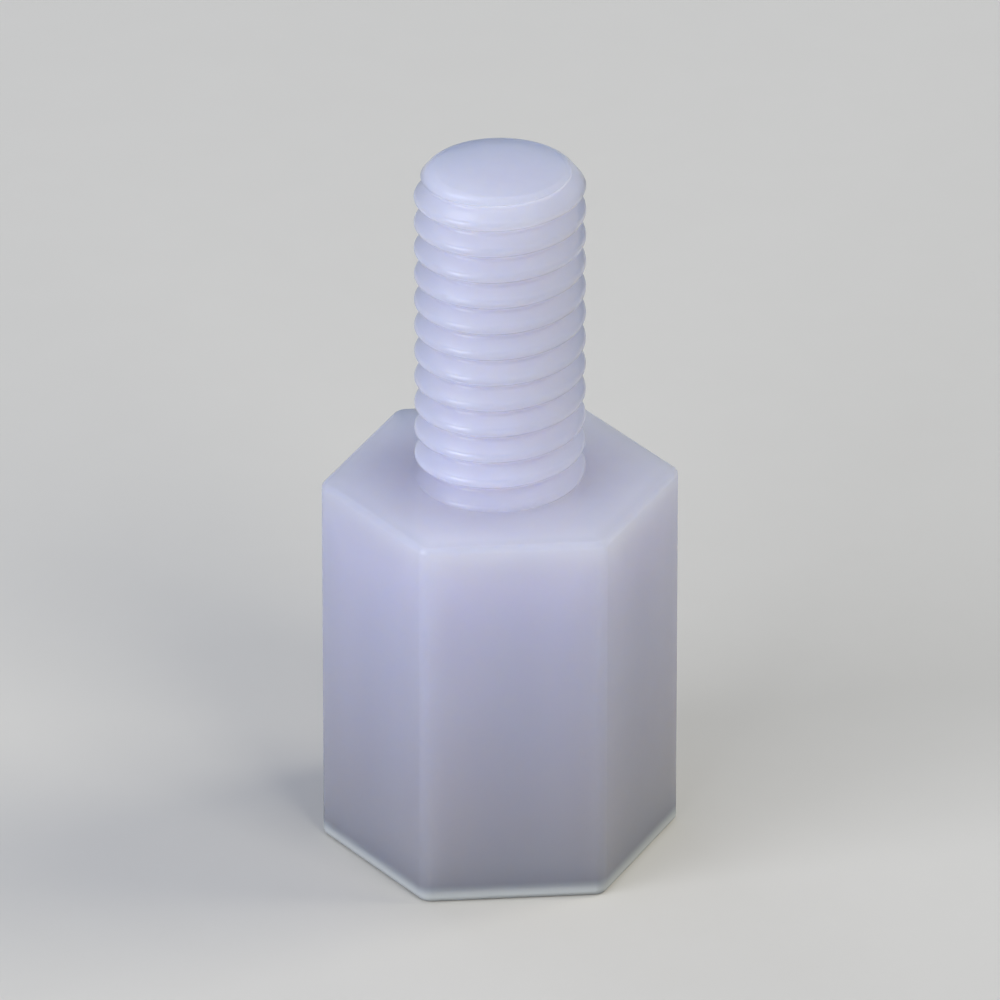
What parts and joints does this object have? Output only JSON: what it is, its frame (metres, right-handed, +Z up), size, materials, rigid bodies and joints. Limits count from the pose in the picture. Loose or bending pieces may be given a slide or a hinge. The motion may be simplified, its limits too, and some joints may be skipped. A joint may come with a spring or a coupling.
{
  "type": "hex standoff",
  "caption": "Small moulded hexagonal spacer with a threaded stud on one end and a tapped blind hole in the other, for holding a board off a base.",
  "frame": {"origin": "centre of the open hexagonal end, on the surface that the standoff stands on", "axes": "+Z up along the standoff's axis towards the stud's tip, +X towards one upright edge of the hexagon, so that one flat faces -Y"},
  "size_m": [0.0062, 0.0054, 0.013],
  "materials": {
    "nylon": "satin"
  },
  "bodies": {
    "root": {"standoff": "nylon"}
  },
  "joints": []
}
